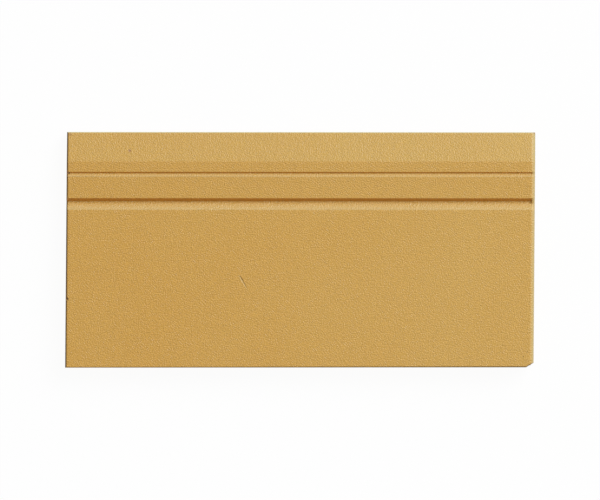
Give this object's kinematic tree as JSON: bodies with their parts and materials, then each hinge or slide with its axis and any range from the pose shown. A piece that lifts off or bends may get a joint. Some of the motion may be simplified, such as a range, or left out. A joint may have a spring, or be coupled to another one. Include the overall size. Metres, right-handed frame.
{
  "type": "skirting tile",
  "caption": "Flat oblong unglazed ochre ceramic skirting tile with a sloped top, quirked cove mouldings above a plain field and a keyed back, for the foot of a wall.",
  "frame": {"origin": "middle of the bedding plane, the land of the ribbed back that the tile lies on", "axes": "+X along the tile to its right-hand end as seen from the face, +Y from the floor edge to the top edge, +Z out of the moulded face"},
  "size_m": [0.2, 0.1, 0.01],
  "materials": {
    "fired_body": "unglazed, through-coloured, matt with a fine pressed grain"
  },
  "bodies": {
    "root": {"skirting_tile": "fired_body"}
  },
  "joints": []
}
